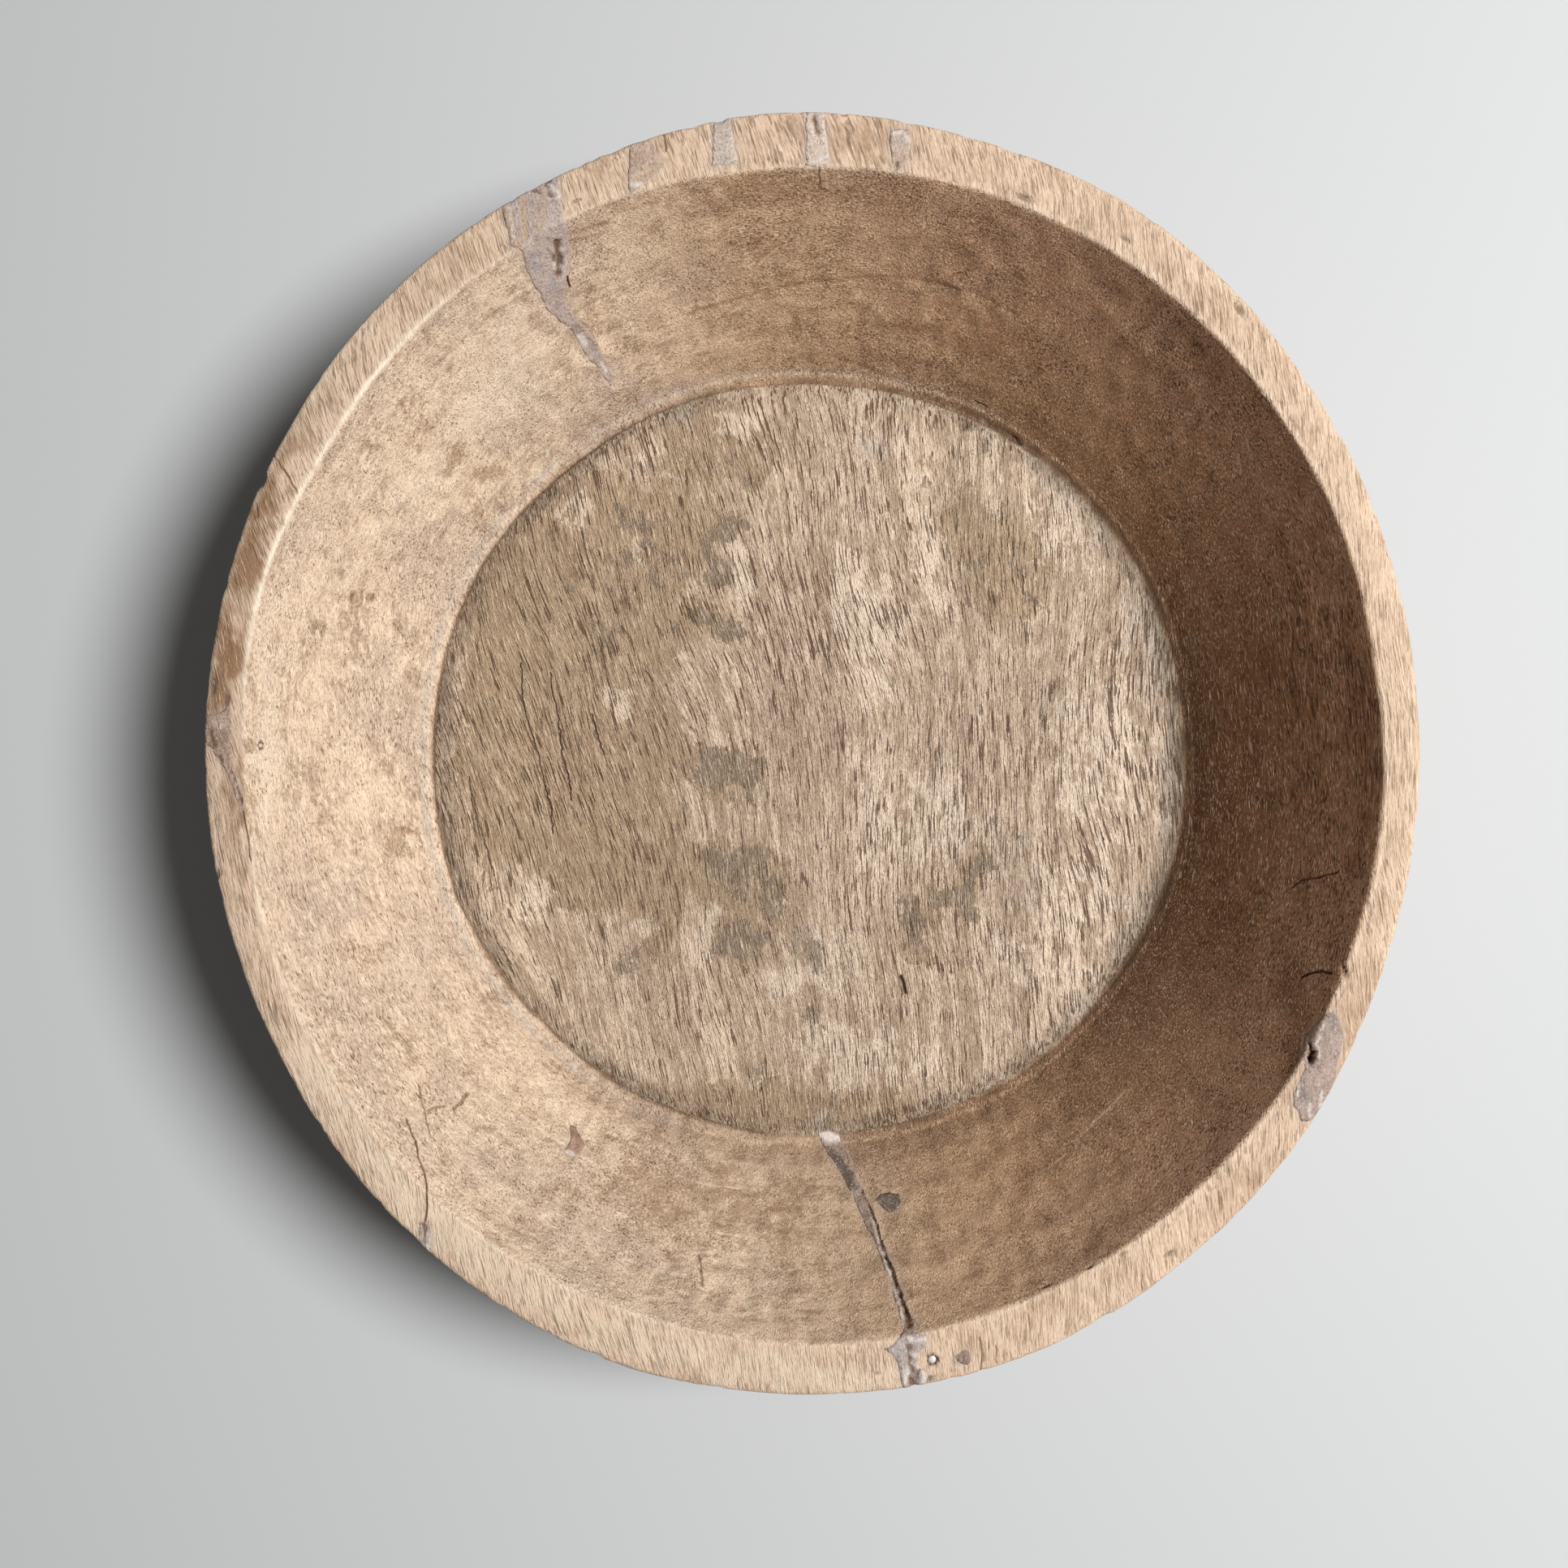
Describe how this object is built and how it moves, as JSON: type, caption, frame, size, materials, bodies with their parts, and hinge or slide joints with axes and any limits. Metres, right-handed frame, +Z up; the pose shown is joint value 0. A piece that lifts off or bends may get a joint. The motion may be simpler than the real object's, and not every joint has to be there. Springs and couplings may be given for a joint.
{
  "type": "dough bowl",
  "caption": "Shallow oval dough bowl carved from one plank, with sloping walls, a flat floor ringed by a groove, a flat rim and filled splits, plugs and a nail.",
  "frame": {"origin": "centre of the flat base, on the surface that the bowl stands on", "axes": "+Z up out of the mouth, +Y along the grain and the bowl's longer diameter, +X across the grain"},
  "size_m": [0.473, 0.5, 0.105],
  "materials": {
    "bowl_wood": "dry, unvarnished and worn",
    "mauve_putty": "matt, sanded flush",
    "grey_putty": "matt, crumbling",
    "dark_plug": "matt",
    "old_steel": "worn bright, rusted round the edge"
  },
  "bodies": {
    "root": {"bowl_body": "bowl_wood", "upper_split_filler": "mauve_putty", "lower_split_filler": "grey_putty", "lower_rim_filler": "mauve_putty", "corner_crack_filler": "mauve_putty", "rim_plug_1": "mauve_putty", "rim_plug_2": "mauve_putty", "rim_plug_3": "mauve_putty", "rim_plug_4": "mauve_putty", "right_rim_filler": "mauve_putty", "left_rim_filler": "grey_putty", "rim_dent_plug": "dark_plug", "wall_spot_filler": "grey_putty", "wall_chip_filler": "mauve_putty", "rim_nail": "old_steel", "wall_pin": "old_steel"}
  },
  "joints": []
}
